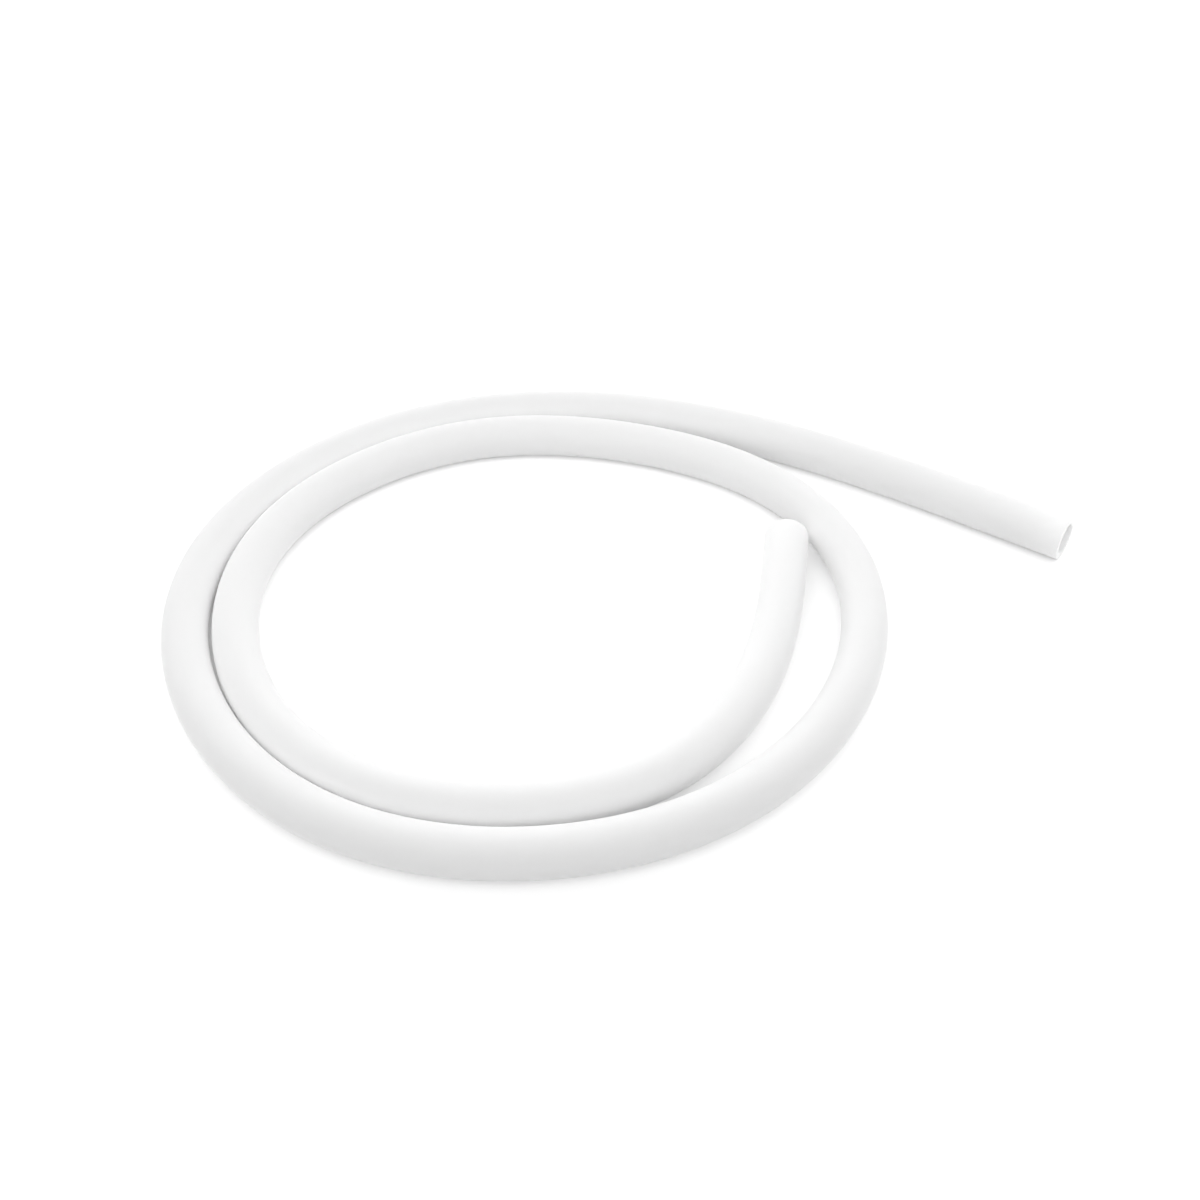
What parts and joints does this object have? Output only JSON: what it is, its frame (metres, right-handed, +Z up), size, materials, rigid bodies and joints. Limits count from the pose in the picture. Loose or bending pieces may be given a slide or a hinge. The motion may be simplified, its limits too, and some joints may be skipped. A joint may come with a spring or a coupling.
{
  "type": "silicone hose",
  "caption": "Plain length of soft silicone hose with an open bore, cut square at both ends and lying in a loose flat coil with one straight end.",
  "frame": {"origin": "centre of the hose's bounding box in plan, on the surface that the hose lies on", "axes": "+Z up from that surface; +X along the straight outer end, out of its cut; +Y away from the coil's centre towards that end"},
  "size_m": [0.2896, 0.2856, 0.017],
  "materials": {
    "silicone": "soft matt, near white"
  },
  "bodies": {
    "root": {"hose": "silicone"}
  },
  "joints": []
}
